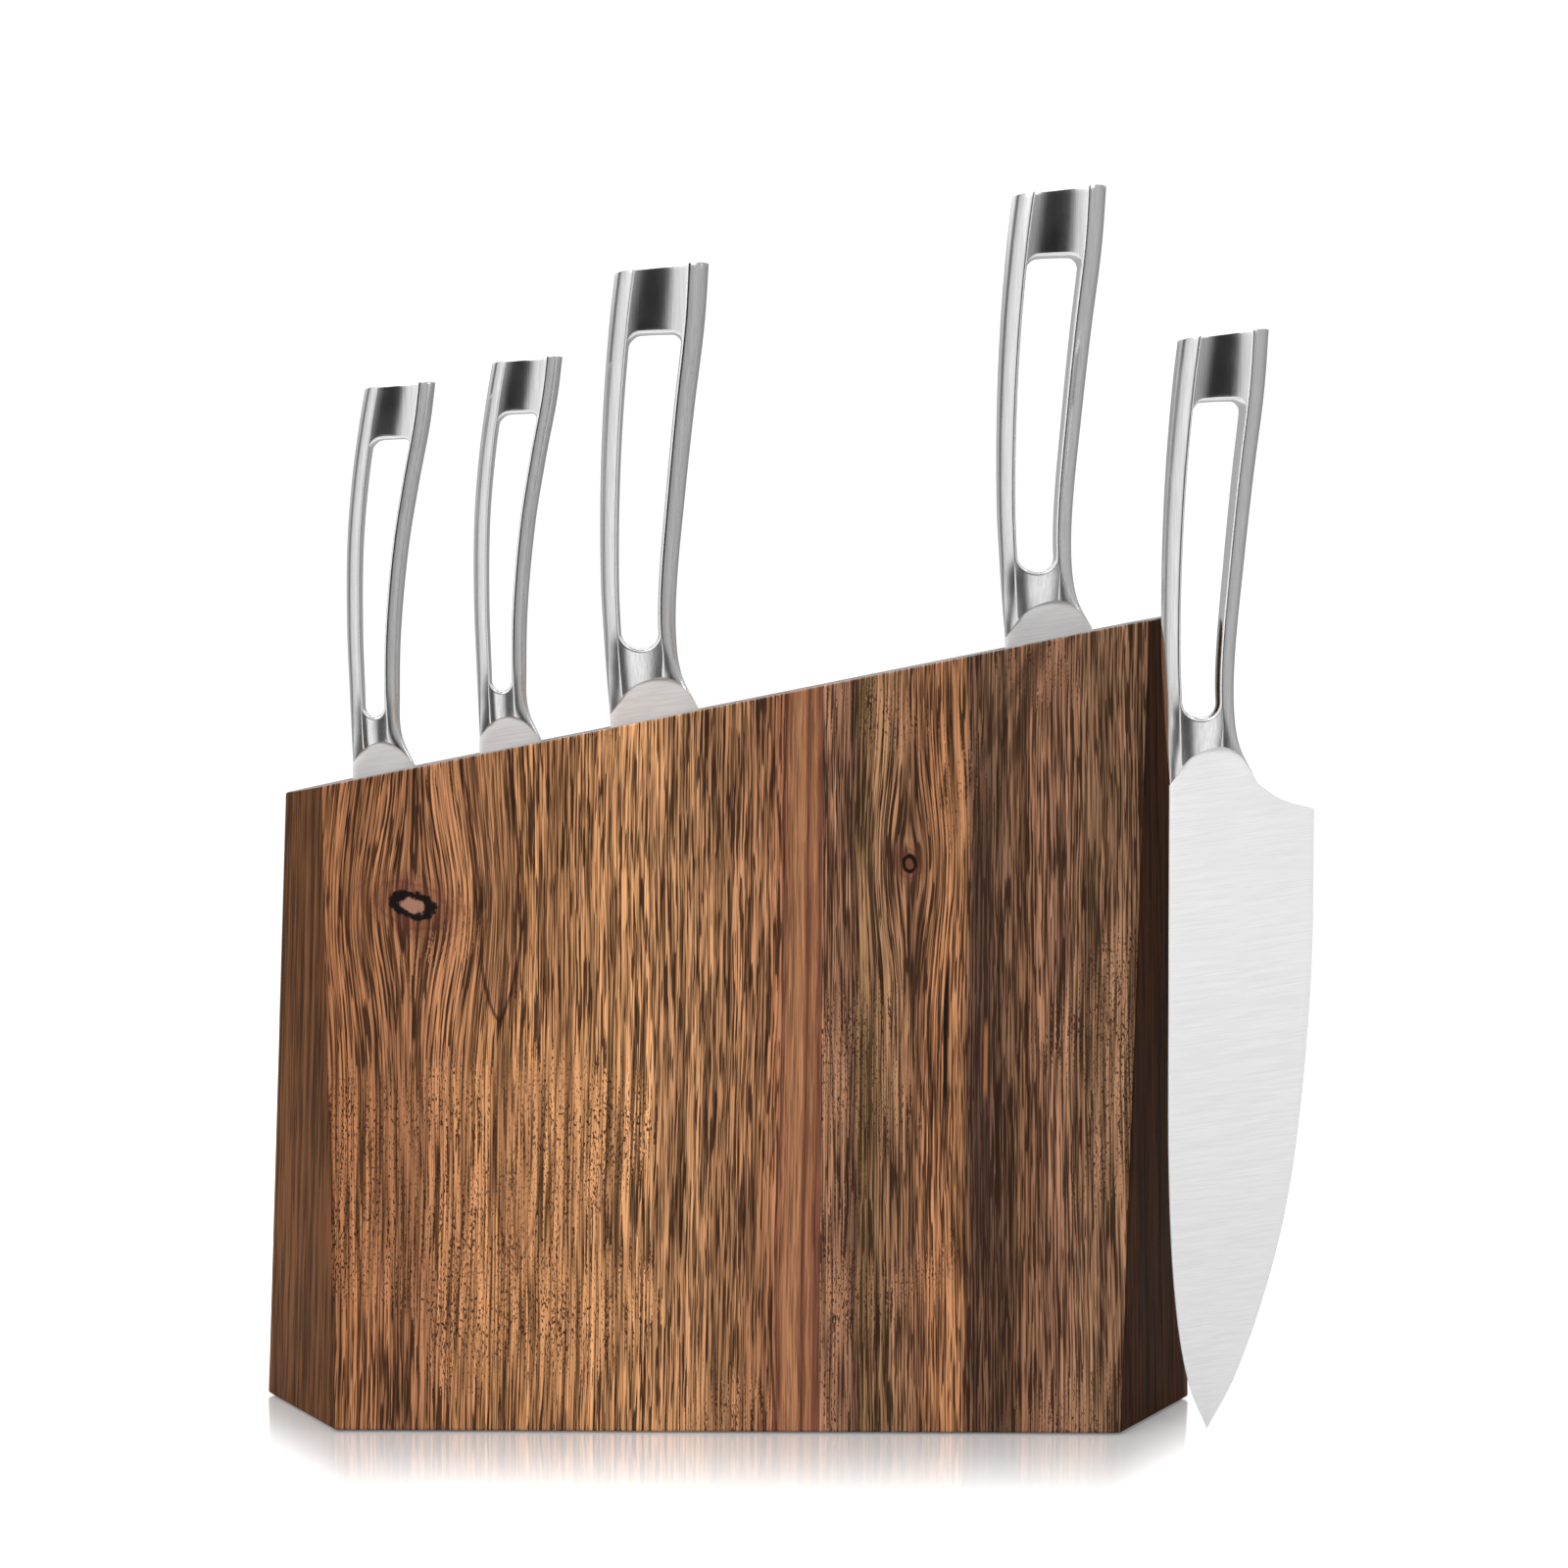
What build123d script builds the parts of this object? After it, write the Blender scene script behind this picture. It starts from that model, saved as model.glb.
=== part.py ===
from build123d import *
import math
import os

os.makedirs("parts", exist_ok=True)

# A slotted wooden knife block with five open-handled steel knives. Millimetres.
# The origin is the middle of the underside. +Z is up, +X points to the tall end of the block,
# and the wide front face looks towards -Y. The knives hang in the mid-plane, Y = 0.

# Block outline: a hexagon in plan, whose front and back faces lean in as they rise.
pad_thickness = 0.6
pad_inset = 3.0
front_half_width = 121.3
ridge_half_width = 149.2
half_depth = 45.0
apex_height = 422.9          # where the front and back faces would meet
apex_half_width = 137.3
blank_height = 275.0
top_height = 225.2           # sloped top, above the origin
top_slope = 11.8             # degrees, rising towards +X
edge_round = 1.0

# Lamination: two edge-glued boards in front, two behind, and a layer of strips between them.
core_thickness = 5.0
rail_top = 12.0
front_seam_x = 28.0
back_seam_x = -28.0

# Slots in the core layer, from the short end to the tall end: spine side and edge side.
slots = {
    "paring": (-123.2, -98.2),
    "utility": (-82.8, -56.2),
    "santoku": (-41.8, 2.8),
    "chef": (6.4, 51.6),
    "bread": (84.4, 121.2),
}

# Dowels across the glue lines, in the strips that are wide enough for them.
dowel_radius = 3.0
dowel_length = 18.0
bore_length = 20.0
dowel_clearance = 0.05
dowel_columns = (-131.5, -90.5, -49.0, 68.0, 131.0)
dowel_heights = (40.0, 160.0)

# Blades.
blade_thickness = 2.2
edge_thickness = 0.4
serration_pitch = 7.5
serration_depth = 1.1
chef_plane_y = -38.0         # the chef's knife stands beside the block, in front of its mid-plane

# Handles. section_count cross-sections make each handle, with corners of rail_round.
section_count = 22
rail_round = 3.4

# Every knife has its own origin at the top of its handle, on the belly side.
# Each station is (drop below that origin, spine side x, belly side x, thickness).
large_handle = {
    "stations": [
        (-3.0, -27.1, 0.2, 15.0),
        (19.0, -29.4, -1.1, 14.4),
        (45.0, -31.1, -4.0, 12.8),
        (72.0, -31.8, -6.6, 11.6),
        (99.0, -31.5, -8.8, 10.6),
        (116.0, -30.5, -8.9, 9.4),
        (128.0, -29.6, -6.9, 6.0),
        (140.0, -28.5, -0.6, 2.9),
    ],
    "butt_drop": 3.5,
    "rail": (6.4, 5.2),
    "window": (21.6, 119.9),
    "window_corner": 3.6,
    "window_end": 5.6,
    "bolster": [(-28.5, -140.2), (-23.4, -132.6), (-18.0, -129.3), (-12.0, -128.2), (-7.6, -130.3), (-3.5, -135.9)],
    "tang": (-25.0, -9.5, -123.6),
}
small_handle = {
    "stations": [
        (-3.0, -21.5, 0.2, 12.6),
        (13.0, -24.2, -1.7, 12.2),
        (31.5, -26.6, -5.1, 11.2),
        (53.0, -28.1, -8.5, 10.2),
        (79.0, -28.1, -10.8, 9.4),
        (100.0, -27.2, -11.2, 8.4),
        (112.6, -26.6, -9.8, 5.8),
        (123.0, -26.0, -5.6, 2.9),
    ],
    "butt_drop": 2.4,
    "rail": (5.1, 4.7),
    "window": (18.0, 107.7),
    "window_corner": 3.0,
    "window_end": 3.6,
    "bolster": [(-26.1, -122.6), (-23.2, -118.4), (-19.4, -116.0), (-15.2, -115.4), (-12.0, -116.8), (-8.9, -120.2)],
    "tang": (-23.5, -12.6, -111.2),
}

# Blades are (x, z) below each knife's origin: "back" runs from the bolster down the spine to the tip,
# and "edge" runs from the tip up the cutting edge to the heel and on to the bolster.
knives = {
    "paring": {
        "handle": small_handle, "scale": (1.0, 1.0), "origin": (-95.8, 326.5), "plane_y": 0.0, "lift": 0.12,
        "back": [(-26.1, -150.0), (-25.4, -178.0), (-21.8, -202.0), (-15.5, -217.5)],
        "edge": [(-9.5, -201.0), (-5.6, -178.0), (-4.0, -150.0), (-3.7, -128.8)],
    },
    "utility": {
        "handle": small_handle, "scale": (1.0, 1.0), "origin": (-55.3, 335.0), "plane_y": 0.0, "lift": 0.15,
        "back": [(-26.1, -160.0), (-25.9, -205.0), (-23.0, -237.0), (-16.0, -256.0)],
        "edge": [(-9.0, -240.0), (-4.4, -212.0), (-2.4, -170.0), (-2.2, -129.4)],
    },
    "santoku": {
        "handle": large_handle, "scale": (1.075, 1.03), "origin": (-9.2, 365.0), "plane_y": 0.0, "lift": 0.2,
        "back": [(-28.9, -200.0), (-28.4, -255.0), (-24.2, -288.0), (-9.0, -311.0), (1.0, -319.0)],
        "edge": [(7.0, -290.0), (9.4, -250.0), (10.3, -200.0), (10.4, -147.0)],
    },
    "bread": {
        "handle": large_handle, "scale": (1.075, 1.03), "origin": (117.4, 390.7), "plane_y": 0.0, "lift": 0.22,
        "back": [(-28.9, -210.0), (-28.7, -290.0), (-25.6, -325.0), (-17.0, -339.5), (-9.0, -341.0)],
        "edge": [(-3.4, -330.0), (2.0, -300.0), (2.5, -220.0), (2.6, -146.0)],
    },
    "chef": {
        "handle": large_handle, "scale": (1.0, 1.0), "origin": (163.1, 341.3), "plane_y": chef_plane_y, "lift": 0.15,
        "back": [(-27.9, -202.0), (-27.0, -262.0), (-24.6, -300.0), (-20.4, -325.0), (-14.1, -341.0)],
        "edge": [(-5.9, -325.3), (2.3, -301.9), (9.3, -273.6), (13.9, -239.0), (16.5, -195.0), (16.5, -147.0)],
    },
}

part_count = 0


def save(piece, label):
    global part_count
    piece.part.label = label
    export_step(piece.part, f"parts/{label}.step")
    part_count += 1
    print(f"{label:20s} solids {len(piece.part.solids())}  volume {piece.part.volume / 1000:8.2f} cm3")


def block_section(z, inset=0.0):
    # the hexagon at height z, pulled in by inset on every side
    share = z / apex_height
    front = front_half_width + (apex_half_width - front_half_width) * share - inset / 2
    ridge = ridge_half_width + (apex_half_width - ridge_half_width) * share - inset * 1.2
    depth = half_depth * (1 - share) - inset
    return [(-front, -depth), (front, -depth), (ridge, 0), (front, depth), (-front, depth), (-ridge, 0)]


# The whole block as one convex blank, from which the boards and strips are cut.
with BuildPart() as blank:
    for z in (pad_thickness, blank_height):
        with BuildSketch(Plane.XY.offset(z)):
            with BuildLine():
                Polyline(*block_section(z), close=True)
            make_face()
    loft(ruled=True)
    slope = math.radians(top_slope)
    top_plane = Plane(origin=(0, 0, top_height), z_dir=(-math.sin(slope), 0, math.cos(slope)))
    split(bisect_by=top_plane, keep=Keep.BOTTOM)
    fillet(blank.edges(), edge_round)


def dowel_places(low_x, high_x):
    # (x, z) of the dowels whose whole width lies between two x values
    reach = dowel_radius + 1
    columns = [x for x in dowel_columns if low_x + reach <= x <= high_x - reach]
    return [(x, z) for x in columns for z in dowel_heights]


def cut_from_blank(label, low, high):
    # one wooden piece: the part of the blank inside a box, bored where dowels cross it
    with BuildPart() as piece:
        add(blank.part)
        with Locations(low):
            size = [high[i] - low[i] for i in range(3)]
            Box(*size, align=(Align.MIN, Align.MIN, Align.MIN), mode=Mode.INTERSECT)
        if low[2] < dowel_heights[0]:
            places = dowel_places(low[0], high[0])
        else:
            places = []
        if places:
            with BuildSketch(Plane.XZ):
                with Locations(*places):
                    Circle(dowel_radius + dowel_clearance)
            extrude(amount=bore_length / 2, both=True, mode=Mode.SUBTRACT)
    save(piece, label)


far = 200.0
half_core = core_thickness / 2
cut_from_blank("front_board_left", (-far, -far, 0), (front_seam_x, -half_core, blank_height))
cut_from_blank("front_board_right", (front_seam_x, -far, 0), (far, -half_core, blank_height))
cut_from_blank("back_board_left", (-far, half_core, 0), (back_seam_x, far, blank_height))
cut_from_blank("back_board_right", (back_seam_x, half_core, 0), (far, far, blank_height))

# The core layer: a rail along the bottom, and upright strips that leave the slots between them.
cut_from_blank("core_bottom_rail", (-far, -half_core, 0), (far, half_core, rail_top))
strip_ends = [-far]
for slot_start, slot_end in slots.values():
    strip_ends += [slot_start, slot_end]
strip_ends.append(far)
for i in range(0, len(strip_ends), 2):
    low = (strip_ends[i], -half_core, rail_top)
    high = (strip_ends[i + 1], half_core, blank_height)
    cut_from_blank(f"core_strip_{i // 2 + 1}", low, high)

# Dowels, one group of identical pins.
with BuildPart() as dowels:
    with BuildSketch(Plane.XZ):
        with Locations(*dowel_places(-far, far)):
            Circle(dowel_radius)
    extrude(amount=dowel_length / 2, both=True)
save(dowels, "dowel_pins")

# Non-slip sheet glued under the block.
with BuildPart() as pad:
    with BuildSketch():
        with BuildLine():
            Polyline(*block_section(0, pad_inset), close=True)
        make_face()
    extrude(amount=pad_thickness)
save(pad, "non_slip_pad")


def side_plane(knife):
    # drawing plane of a knife: local x to the right and local y up, seen from the front
    x, z = knife["origin"]
    return Plane(origin=(x, knife["plane_y"], z), x_dir=(1, 0, 0), z_dir=(0, -1, 0))


def scaled(knife, points):
    kx, kz = knife["scale"]
    return [(x * kx, z * kz) for x, z in points]


def slope_at(rows, i, column):
    # slope of a station's value against drop, from its neighbours
    upper = rows[max(i - 1, 0)]
    lower = rows[min(i + 1, len(rows) - 1)]
    return (lower[column] - upper[column]) / (lower[0] - upper[0])


def station_at(handle, drop):
    # spine x, belly x and thickness at any drop, on a smooth curve through the stations
    rows = handle["stations"]
    i = 0
    while i < len(rows) - 2 and drop > rows[i + 1][0]:
        i += 1
    span = rows[i + 1][0] - rows[i][0]
    t = (drop - rows[i][0]) / span
    values = []
    for column in (1, 2, 3):
        start = (2 * t**3 - 3 * t**2 + 1) * rows[i][column]
        start += (t**3 - 2 * t**2 + t) * span * slope_at(rows, i, column)
        end = (3 * t**2 - 2 * t**3) * rows[i + 1][column]
        end += (t**3 - t**2) * span * slope_at(rows, i + 1, column)
        values.append(start + end)
    return values


def window_sides(handle, drops):
    # the two long sides of the finger window, each a rail's width inside the outline
    top, bottom = handle["window"]
    wide, narrow = handle["rail"]
    left = []
    right = []
    for drop in drops:
        rail = wide + (narrow - wide) * (drop - top) / (bottom - top)
        spine_x, belly_x, thickness = station_at(handle, drop)
        left.append((spine_x + rail, -drop))
        right.append((belly_x - rail, -drop))
    return left, right


def bolster_curve(knife):
    return scaled(knife, knife["handle"]["bolster"])


def add_tang(knife, extra):
    # the flat tongue of the blade that is welded into the handle
    left, right, top = knife["handle"]["tang"]
    low = knife["handle"]["bolster"][2][1] - 3.0
    corners = scaled(knife, [(left, top), (right, top), (right, low), (left, low)])
    (x0, z0), (x1, z1) = corners[0], corners[2]
    with Locations(((x0 + x1) / 2, (z0 + z1) / 2)):
        Rectangle(x1 - x0 + extra, z0 - z1 + extra)


def make_handle(name, knife):
    handle = knife["handle"]
    kx, kz = knife["scale"]
    x0, z0 = knife["origin"]
    plane_y = knife["plane_y"]
    with BuildPart() as piece:
        first = handle["stations"][0][0]
        last = handle["stations"][-1][0]
        for i in range(section_count):
            drop = first + (last - first) * i / (section_count - 1)
            spine_x, belly_x, thickness = station_at(handle, drop)
            width = (belly_x - spine_x) * kx
            middle = x0 + (belly_x + spine_x) / 2 * kx
            corner = min(width, thickness) / 2 - 0.25
            with BuildSketch(Plane(origin=(middle, plane_y, z0 - drop * kz))):
                RectangleRounded(width, thickness, min(corner, rail_round))
        loft(ruled=True)
        # slanted butt
        tilt = math.atan2(handle["butt_drop"] * kz, -handle["stations"][0][1] * kx)
        butt = Plane(origin=(x0, plane_y, z0), z_dir=(-math.sin(tilt), 0, math.cos(tilt)))
        split(bisect_by=butt, keep=Keep.BOTTOM)
        # finger window
        top, bottom = handle["window"]
        corner = handle["window_corner"]
        half_width = handle["window_end"]
        drops = [top + corner + (bottom - half_width - top - corner) * i / 4 for i in range(5)]
        left, right = window_sides(handle, drops)
        middle_x = (left[-1][0] + right[-1][0]) / 2
        with BuildSketch(side_plane(knife)):
            with BuildLine():
                Spline(*scaled(knife, left))
                ends = scaled(knife, [left[-1], (middle_x, -bottom), right[-1]])
                ThreePointArc(*ends)
                Spline(*scaled(knife, right[::-1]))
                rise = 0.8
                top_left = (left[0][0] + corner, -top - rise / 2)
                top_right = (right[0][0] - corner, -top + rise / 2)
                crown = scaled(knife, [right[0], top_right, top_left, left[0]])
                Polyline(*crown)
            make_face()
        extrude(amount=30, both=True, mode=Mode.SUBTRACT)
        # hollow end that the blade's flat runs up into, and the pocket for its tang
        with BuildSketch(side_plane(knife)):
            with BuildLine():
                arc = bolster_curve(knife)
                Spline(*arc)
                low_z = arc[0][1] - 12
                Polyline(arc[0], (arc[0][0] - 12, arc[0][1]), (arc[0][0] - 12, low_z),
                         (arc[-1][0] + 12, low_z), (arc[-1][0] + 12, arc[-1][1]), arc[-1])
            make_face()
        extrude(amount=30, both=True, mode=Mode.SUBTRACT)
        with BuildSketch(side_plane(knife)):
            add_tang(knife, 0.1)
        extrude(amount=blade_thickness / 2, both=True, mode=Mode.SUBTRACT)
    save(piece, f"{name}_handle")


def make_blade(name, knife):
    arc = bolster_curve(knife)
    back = knife["back"]
    edge = knife["edge"]
    with BuildPart() as piece:
        with BuildSketch(side_plane(knife)) as face:
            with BuildLine():
                Spline(*arc)
                Spline(arc[0], *back)
                Spline(back[-1], *edge)
                heel = edge[-1]
                heel_curve = ((heel[0] + arc[-1][0]) / 2 - 1.5, (heel[1] + arc[-1][1]) / 2 - 1.0)
                Spline(heel, heel_curve, arc[-1])
            make_face()
            add_tang(knife, 0)
            if name == "bread":
                count = int((heel[1] - edge[0][1]) / serration_pitch)
                radius = serration_pitch * 0.55
                for i in range(count):
                    z = heel[1] - 6 - serration_pitch * i
                    with Locations((edge[-1][0] + radius - serration_depth, z)):
                        Circle(radius, mode=Mode.SUBTRACT)
        extrude(amount=blade_thickness / 2, both=True)
        # full flat grind: thick at the spine, thin at the cutting edge
        x0, z0 = knife["origin"]
        spine_x = min(x for x, z in back) - 3
        edge_x = max(x for x, z in edge) + 0.5
        with BuildSketch(Plane(origin=(x0, knife["plane_y"], 0))):
            with BuildLine():
                half = blade_thickness / 2
                thin = edge_thickness / 2
                Polyline((spine_x, -half), (spine_x + 8, -half), (edge_x, -thin), (edge_x, thin),
                         (spine_x + 8, half), (spine_x, half), close=True)
            make_face()
        extrude(amount=400, mode=Mode.INTERSECT)
    save(piece, f"{name}_blade")


for name, knife in knives.items():
    make_handle(name, knife)
    make_blade(name, knife)

print("nodes:", part_count)
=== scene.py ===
import math

import bmesh
import bpy
from mathutils import Matrix, Vector


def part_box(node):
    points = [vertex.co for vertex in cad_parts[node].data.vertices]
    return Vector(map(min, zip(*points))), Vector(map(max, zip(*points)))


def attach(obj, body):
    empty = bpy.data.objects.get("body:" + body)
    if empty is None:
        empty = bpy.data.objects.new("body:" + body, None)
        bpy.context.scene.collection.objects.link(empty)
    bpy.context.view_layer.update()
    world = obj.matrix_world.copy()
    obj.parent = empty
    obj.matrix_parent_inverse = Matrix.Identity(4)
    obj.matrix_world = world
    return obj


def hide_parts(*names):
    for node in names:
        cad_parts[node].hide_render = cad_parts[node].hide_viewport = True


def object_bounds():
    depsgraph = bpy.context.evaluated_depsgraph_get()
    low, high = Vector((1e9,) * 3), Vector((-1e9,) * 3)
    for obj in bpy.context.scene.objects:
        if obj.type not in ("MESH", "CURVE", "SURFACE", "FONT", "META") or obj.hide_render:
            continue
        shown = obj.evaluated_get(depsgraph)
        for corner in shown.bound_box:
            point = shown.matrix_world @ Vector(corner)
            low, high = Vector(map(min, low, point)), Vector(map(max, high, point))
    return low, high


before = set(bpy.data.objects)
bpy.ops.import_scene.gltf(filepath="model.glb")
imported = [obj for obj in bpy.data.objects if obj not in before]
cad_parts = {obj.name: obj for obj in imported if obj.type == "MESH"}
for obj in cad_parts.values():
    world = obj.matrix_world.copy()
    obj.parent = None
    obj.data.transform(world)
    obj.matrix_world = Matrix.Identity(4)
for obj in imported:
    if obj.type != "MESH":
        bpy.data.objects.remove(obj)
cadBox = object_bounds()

mm = 0.001
print("frame loaded:", len(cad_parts), "nodes")


def feed(tree, socket, value):  # a link when value is a socket, else the socket's own value
    if isinstance(value, bpy.types.NodeSocket):
        tree.links.new(value, socket)
    elif value is not None:
        socket.default_value = value


def calc(tree, operation, a, b=None, c=None, clamp=False):
    node = tree.nodes.new("ShaderNodeMath")
    node.operation = operation
    node.use_clamp = clamp
    for socket, value in zip(node.inputs, (a, b, c)):
        feed(tree, socket, value)
    return node.outputs[0]


def vectorCalc(tree, operation, a, b):
    node = tree.nodes.new("ShaderNodeVectorMath")
    node.operation = operation
    feed(tree, node.inputs[0], a)
    feed(tree, node.inputs[1], b)
    return node.outputs[0]


def between(tree, value, low, high, toLow=0.0, toHigh=1.0):  # a smooth step from low to high
    node = tree.nodes.new("ShaderNodeMapRange")
    node.interpolation_type = "SMOOTHSTEP"
    for socket, number in zip(node.inputs, (value, low, high, toLow, toHigh)):
        feed(tree, socket, number)
    return node.outputs[0]


def blendColour(tree, factor, a, b, mode="MIX"):
    node = tree.nodes.new("ShaderNodeMix")
    node.data_type = "RGBA"
    node.blend_type = mode
    feed(tree, node.inputs[0], factor)
    feed(tree, node.inputs[6], a)
    feed(tree, node.inputs[7], b)
    return node.outputs[2]


def ramp(tree, factor, stops):  # stops are (position, (r, g, b))
    node = tree.nodes.new("ShaderNodeValToRGB")
    elements = node.color_ramp.elements
    while len(elements) < len(stops):
        elements.new(0.5)
    for element, (place, colour) in zip(elements, stops):
        element.position = place
        element.color = (*colour, 1.0)
    feed(tree, node.inputs[0], factor)
    return node.outputs[0]


def noise(tree, position, stretch, detail=2.0, rough=0.5, twist=0.0, offset=(0, 0, 0)):
    # stretch is how many cells there are in a metre, along X, Y and Z
    moved = vectorCalc(tree, "ADD", position, offset)
    node = tree.nodes.new("ShaderNodeTexNoise")
    feed(tree, node.inputs["Vector"], vectorCalc(tree, "MULTIPLY", moved, stretch))
    node.inputs["Scale"].default_value = 1.0
    node.inputs["Detail"].default_value = detail
    node.inputs["Roughness"].default_value = rough
    node.inputs["Distortion"].default_value = twist
    return node.outputs[0]


def splitXyz(tree, vector):
    node = tree.nodes.new("ShaderNodeSeparateXYZ")
    feed(tree, node.inputs[0], vector)
    return node.outputs[0], node.outputs[1], node.outputs[2]


def joinXyz(tree, x, y, z):
    node = tree.nodes.new("ShaderNodeCombineXYZ")
    for socket, value in zip(node.inputs, (x, y, z)):
        feed(tree, socket, value)
    return node.outputs[0]


def newGroup(name, inputs, outputs):
    tree = bpy.data.node_groups.new(name, "ShaderNodeTree")
    for label, kind, value in inputs:
        socket = tree.interface.new_socket(label, in_out="INPUT", socket_type=kind)
        if value is not None:
            socket.default_value = value
    for label, kind in outputs:
        tree.interface.new_socket(label, in_out="OUTPUT", socket_type=kind)
    return tree, tree.nodes.new("NodeGroupInput").outputs, tree.nodes.new("NodeGroupOutput").inputs


def useGroup(tree, group, **values):
    node = tree.nodes.new("ShaderNodeGroup")
    node.node_tree = group
    for label, value in values.items():
        feed(tree, node.inputs[label], value)
    return node.outputs


def newMaterial(name):
    material = bpy.data.materials.new(name)
    material.use_nodes = True
    tree = material.node_tree
    shader = tree.nodes["Principled BSDF"]
    place = tree.nodes.new("ShaderNodeTexCoord").outputs["Object"]
    return material, tree, shader, place


def addBump(tree, shader, height, strength, distance):
    node = tree.nodes.new("ShaderNodeBump")
    node.inputs["Strength"].default_value = strength
    node.inputs["Distance"].default_value = distance
    feed(tree, node.inputs["Height"], height)
    feed(tree, shader.inputs["Normal"], node.outputs[0])


floatKind = "NodeSocketFloat"
vectorKind = "NodeSocketVector"


def makeKnotFlow():
    # bends the grain round a knot: lines of equal x bulge away from its centre
    tree, given, out = newGroup(
        "knotFlow",
        [("Position", vectorKind, None), ("X", floatKind, 0.0), ("Z", floatKind, 0.0),
         ("Width", floatKind, 0.02), ("Height", floatKind, 0.04), ("Push", floatKind, 0.8)],
        [("Position", vectorKind)])
    x, y, z = splitXyz(tree, given["Position"])
    dx = calc(tree, "SUBTRACT", x, given["X"])
    dz = calc(tree, "SUBTRACT", z, given["Z"])
    across = calc(tree, "DIVIDE", dx, given["Width"])
    along = calc(tree, "DIVIDE", dz, given["Height"])
    square = calc(tree, "ADD", calc(tree, "MULTIPLY", across, across),
                  calc(tree, "MULTIPLY", along, along))
    fall = calc(tree, "EXPONENT", calc(tree, "MULTIPLY", square, -1.0))
    squeeze = calc(tree, "SUBTRACT", 1.0, calc(tree, "MULTIPLY", fall, given["Push"]))
    bentX = calc(tree, "MULTIPLY_ADD", dx, squeeze, given["X"])
    feed(tree, out["Position"], joinXyz(tree, bentX, y, z))
    return tree


def makeWoodGrain():
    # fine vertical figure: broad tone, streaks and dark pores, which are short where the fibres slant
    tree, given, out = newGroup(
        "woodGrain",
        [("Position", vectorKind, None), ("Wander", floatKind, 0.002), ("Seed", floatKind, 0.0)],
        [("Position", vectorKind), ("Tone", floatKind), ("Streaks", floatKind), ("Pores", floatKind),
         ("Fibre", floatKind)])
    seeded = vectorCalc(tree, "ADD", given["Position"], joinXyz(tree, 0.0, given["Seed"], 0.0))
    wander = calc(tree, "SUBTRACT", noise(tree, seeded, (12, 12, 5), 2.0), 0.5)
    ripple = calc(tree, "SUBTRACT", noise(tree, seeded, (90, 90, 30), 2.0, 0.55), 0.5)
    x, y, z = splitXyz(tree, seeded)
    x = calc(tree, "MULTIPLY_ADD", wander, given["Wander"], x)
    x = calc(tree, "MULTIPLY_ADD", ripple, calc(tree, "MULTIPLY", given["Wander"], 0.12), x)
    bent = joinXyz(tree, x, y, z)
    feed(tree, out["Position"], bent)
    feed(tree, out["Tone"], noise(tree, bent, (75, 25, 3.0), 3.0, 0.6))
    fine = noise(tree, bent, (1750, 200, 17), 2.0, 0.6, offset=(0.3, 0, 0))
    broad = noise(tree, bent, (420, 50, 5), 2.0, 0.6, offset=(0.5, 0, 0))
    feed(tree, out["Streaks"], calc(tree, "MULTIPLY_ADD", broad, 0.3, calc(tree, "MULTIPLY", fine, 0.7)))
    longLines = noise(tree, bent, (2100, 300, 48), 1.0, 0.5, offset=(0.7, 0, 0.1))
    shortLines = noise(tree, bent, (2500, 300, 850), 1.0, 0.5, offset=(0.9, 0, 0.3))
    slanted = between(tree, noise(tree, seeded, (11, 20, 9), 2.0, 0.6, offset=(0.4, 0, 0.7)), 0.50, 0.66)
    shortLines = calc(tree, "SUBTRACT", shortLines, 0.045)
    lines = calc(tree, "ADD", calc(tree, "MULTIPLY", longLines, calc(tree, "SUBTRACT", 1.0, slanted)),
                 calc(tree, "MULTIPLY", shortLines, slanted))
    clump = noise(tree, bent, (170, 60, 14), 1.0, 0.5, offset=(0.2, 0.4, 0))
    threshold = calc(tree, "MULTIPLY_ADD", clump, -0.16, 0.60)
    feed(tree, out["Pores"], between(tree, calc(tree, "SUBTRACT", lines, threshold), 0.0, 0.06))
    feed(tree, out["Fibre"], noise(tree, bent, (2400, 900, 300), 2.0, 0.7))
    return tree


def makeSawnFigure():
    # a narrow pointed arch, where the saw has cut across one growth ring
    tree, given, out = newGroup(
        "sawnFigure",
        [("Position", vectorKind, None), ("X", floatKind, 0.0), ("Z", floatKind, 0.0),
         ("Spread", floatKind, 0.008), ("Rise", floatKind, 0.01), ("Lean", floatKind, 0.0),
         ("Length", floatKind, 0.08)],
        [("Line", floatKind), ("Inside", floatKind)])
    x, y, z = splitXyz(tree, given["Position"])
    lift = calc(tree, "SUBTRACT", z, given["Z"])
    ruffle = calc(tree, "SUBTRACT", noise(tree, given["Position"], (120, 60, 60), 3.0, 0.6), 0.5)
    dx = calc(tree, "SUBTRACT", x, calc(tree, "MULTIPLY_ADD", lift, given["Lean"], given["X"]))
    dx = calc(tree, "MULTIPLY_ADD", ruffle, 0.003, dx)
    above = calc(tree, "DIVIDE", calc(tree, "MAXIMUM", lift, 0.0), given["Rise"])
    half = calc(tree, "SUBTRACT", 1.0, calc(tree, "EXPONENT", calc(tree, "MULTIPLY", above, -1.0)))
    half = calc(tree, "MULTIPLY", half, given["Spread"])
    gap = calc(tree, "SUBTRACT", calc(tree, "ABSOLUTE", dx), half)
    start = between(tree, lift, -0.0015, 0.001)
    end = between(tree, calc(tree, "SUBTRACT", lift, given["Length"]), 0.0, -0.02)
    shown = calc(tree, "MULTIPLY", start, end)
    line = between(tree, calc(tree, "ABSOLUTE", gap), 0.0010, 0.0002)
    feed(tree, out["Line"], calc(tree, "MULTIPLY", line, shown))
    feed(tree, out["Inside"], calc(tree, "MULTIPLY", between(tree, gap, 0.0, -0.002), shown))
    return tree


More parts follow.
